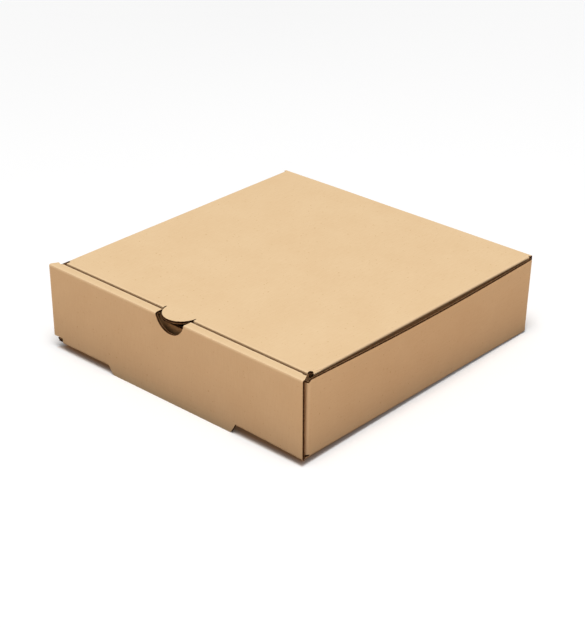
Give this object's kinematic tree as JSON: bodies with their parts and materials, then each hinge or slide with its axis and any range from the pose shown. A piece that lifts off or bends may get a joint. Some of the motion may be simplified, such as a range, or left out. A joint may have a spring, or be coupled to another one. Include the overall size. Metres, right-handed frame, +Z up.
{
  "type": "pizza box",
  "caption": "Low square takeaway box folded from kraft corrugated board, with a rolled-over front wall, a thumb notch and a hinged tuck lid.",
  "frame": {"origin": "middle of the footprint, level with the lower edge of the front tongue that stands below the base", "axes": "+X along the front to the right, +Y from the front wall to the rear hinge fold, +Z up"},
  "size_m": [0.2, 0.199, 0.0538],
  "materials": {
    "tray_board": "matte kraft liner",
    "lid_board": "matte kraft liner"
  },
  "bodies": {
    "tray_body": {"tray": "tray_board"},
    "lid_body": {"lid": "lid_board"}
  },
  "joints": [
    {"name": "lid_hinge", "type": "hinge", "parent": "tray_body", "child": "lid_body", "pos_m": [0, 0.09911, 0.05339], "axis": [-1, 0, 0], "range_deg": [0, 180]}
  ]
}
